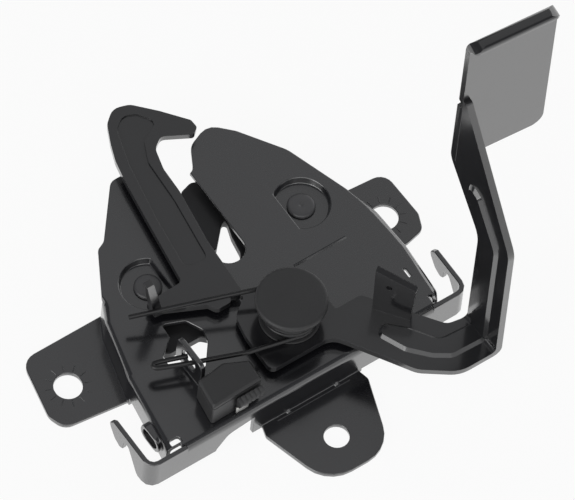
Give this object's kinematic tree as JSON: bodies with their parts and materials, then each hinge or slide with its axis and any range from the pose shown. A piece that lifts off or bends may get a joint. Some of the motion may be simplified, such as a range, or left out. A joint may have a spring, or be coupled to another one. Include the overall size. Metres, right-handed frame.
{
  "type": "bonnet latch",
  "caption": "Car bonnet latch: pressed bracket with a striker slot, a claw and pawl behind it, and a sprung safety hook with a tall hand lever in front.",
  "frame": {"origin": "middle of the lower mounting tab's back face, where the tab seats on the car's front panel", "axes": "+Z out of the front of the latch, square to its mounting faces; +Y up along the striker slot to its mouth; +X to the right seen from the front, towards the hand lever"},
  "size_m": [0.1987, 0.1787, 0.2025],
  "materials": {
    "bracket_paint": "dark grey satin electrocoat",
    "lever_paint": "glossy black powder coat",
    "latch_steel": "dark coated steel, satin",
    "spring_wire": "black coated spring wire",
    "zinc": "zinc plated",
    "plastic": "black moulded plastic, satin",
    "tin": "tinned contact strip"
  },
  "bodies": {
    "bracket": {"main_bracket": "bracket_paint", "back_plate": "bracket_paint", "claw_rivet": "latch_steel", "pawl_rivet": "latch_steel", "claw_spacer": "zinc", "pawl_spacer": "zinc", "claw_spring": "spring_wire", "pawl_spring": "spring_wire", "pivot_stud": "zinc", "pivot_washer": "plastic", "pivot_bush": "plastic", "pivot_cap": "plastic", "hook_spring": "spring_wire", "switch_housing": "plastic", "switch_cover": "plastic", "switch_spring": "spring_wire", "switch_contact_left": "tin", "switch_contact_right": "tin", "switch_terminal": "tin", "switch_grip": "plastic"},
    "hook": {"hook_lever": "lever_paint"},
    "claw": {"claw": "latch_steel"},
    "pawl": {"pawl": "latch_steel"},
    "plunger": {"switch_plunger": "plastic"}
  },
  "joints": [
    {"name": "hook_hinge", "type": "hinge", "parent": "bracket", "child": "hook", "pos_m": [0.0064, 0.034, 0.0225], "axis": [0, 0, 1], "range_deg": [0, 20], "stiffness_Nm_per_rad": 1.2, "springref_deg": -28.65, "deforming": ["hook_spring"]},
    {"name": "claw_hinge", "type": "hinge", "parent": "bracket", "child": "claw", "pos_m": [0.043, 0.078, 0.0098], "axis": [0, 0, -1], "range_deg": [0, 45], "stiffness_Nm_per_rad": 0.3, "springref_deg": -17.19},
    {"name": "pawl_hinge", "type": "hinge", "parent": "bracket", "child": "pawl", "pos_m": [-0.03, 0.08, 0.0098], "axis": [0, 0, -1], "range_deg": [0, 16]},
    {"name": "plunger_slide", "type": "slide", "parent": "bracket", "child": "plunger", "axis": [0, 0, 1], "range_m": [0, 0.0025], "stiffness_N_per_m": 200, "springref_m": -0.004, "deforming": ["switch_spring"]}
  ],
  "couplings": [
    {"joint": "pawl_hinge", "follows": "claw_hinge", "ratio": 0.35}
  ]
}
